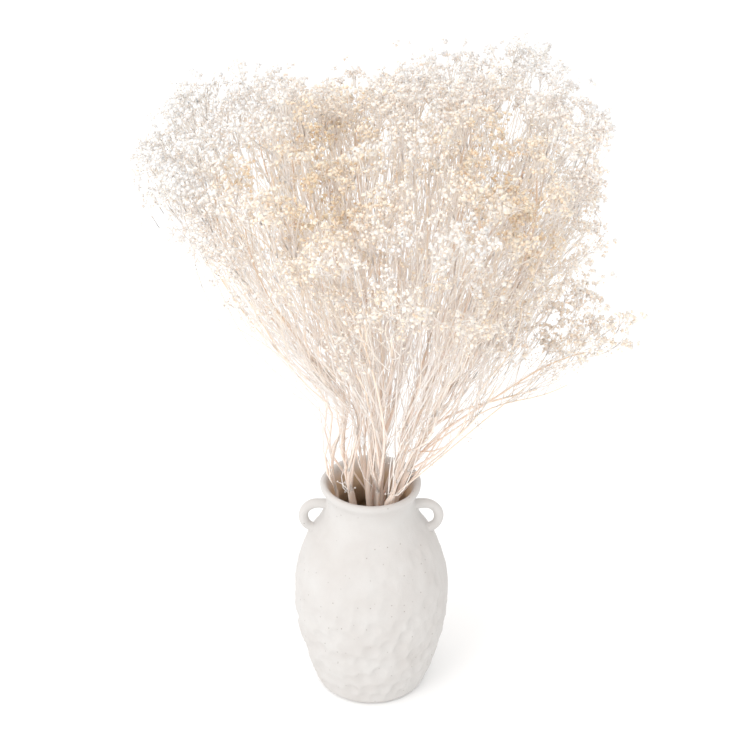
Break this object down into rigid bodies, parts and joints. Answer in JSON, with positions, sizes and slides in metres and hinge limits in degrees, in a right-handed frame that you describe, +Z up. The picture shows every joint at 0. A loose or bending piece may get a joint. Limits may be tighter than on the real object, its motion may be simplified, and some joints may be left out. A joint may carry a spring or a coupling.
{
  "type": "vase of dried broom bloom",
  "caption": "Hand-formed bisque vase with two small ring handles, filled with a wide rounded bunch of dried, fine-branched, cream bloom sprays on woody stems.",
  "frame": {"origin": "middle of the vase's flat foot, on the surface that it stands on", "axes": "+Z up along the vase's axis; the two ring handles lie on +X and -X; -Y faces the viewer"},
  "size_m": [0.4549, 0.4826, 0.6713],
  "materials": {
    "bisque": "matte unglazed off-white bisque",
    "dried_bloom": "matte dried cream florets on tan woody stems"
  },
  "bodies": {
    "root": {"vase": "bisque", "spray_01": "dried_bloom", "spray_02": "dried_bloom", "spray_03": "dried_bloom", "spray_04": "dried_bloom", "spray_05": "dried_bloom", "spray_06": "dried_bloom", "spray_07": "dried_bloom", "spray_08": "dried_bloom", "spray_09": "dried_bloom", "spray_10": "dried_bloom", "spray_11": "dried_bloom", "spray_12": "dried_bloom", "spray_13": "dried_bloom", "spray_14": "dried_bloom", "spray_15": "dried_bloom", "spray_16": "dried_bloom", "spray_17": "dried_bloom", "spray_18": "dried_bloom"}
  },
  "joints": []
}
